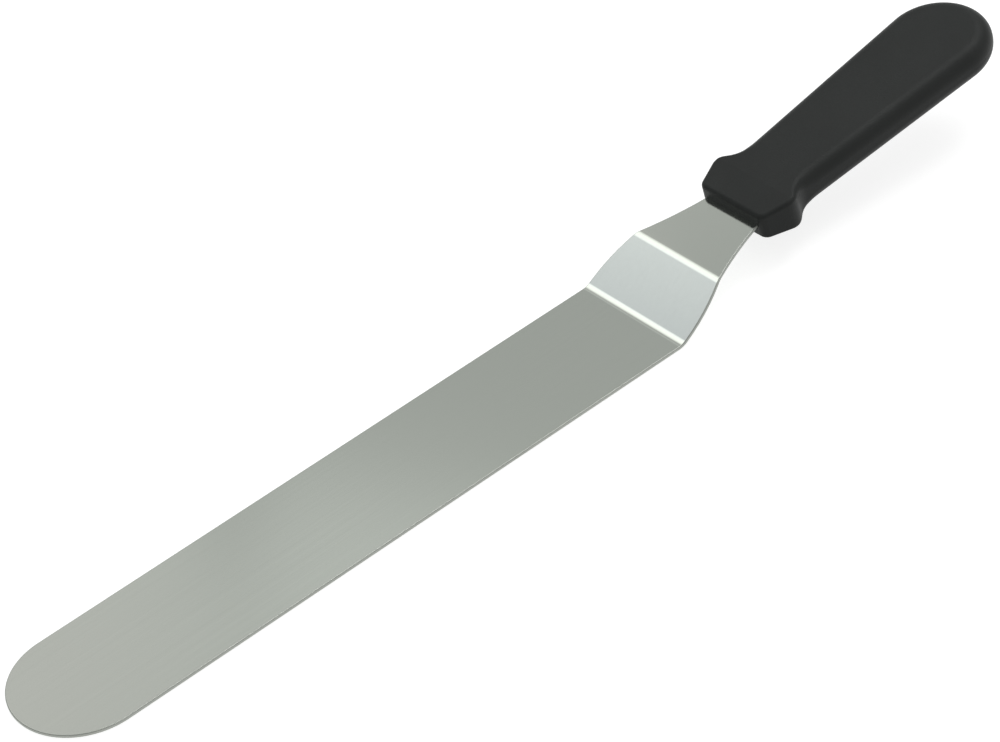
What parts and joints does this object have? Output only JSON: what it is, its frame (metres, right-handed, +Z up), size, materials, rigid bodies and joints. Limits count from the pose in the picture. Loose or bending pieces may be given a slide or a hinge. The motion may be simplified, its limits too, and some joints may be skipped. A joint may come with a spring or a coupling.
{
  "type": "palette knife",
  "caption": "Cranked palette knife: a long flat round-ended steel blade, stepped up by a riser and a narrowing neck into a flared, round-butted plastic handle.",
  "frame": {"origin": "middle of the knife's box from above, on the plane that the flat blade rests on", "axes": "+X from the blade's tip to the butt of the handle, +Y across the blade, +Z up from the blade towards the raised handle"},
  "size_m": [0.3315, 0.038, 0.0299],
  "materials": {
    "steel": "satin stainless spring steel, finely brushed along the blade",
    "handle": "black moulded polypropylene with a fine matt texture"
  },
  "bodies": {
    "root": {"blade": "steel", "handle": "handle"}
  },
  "joints": []
}
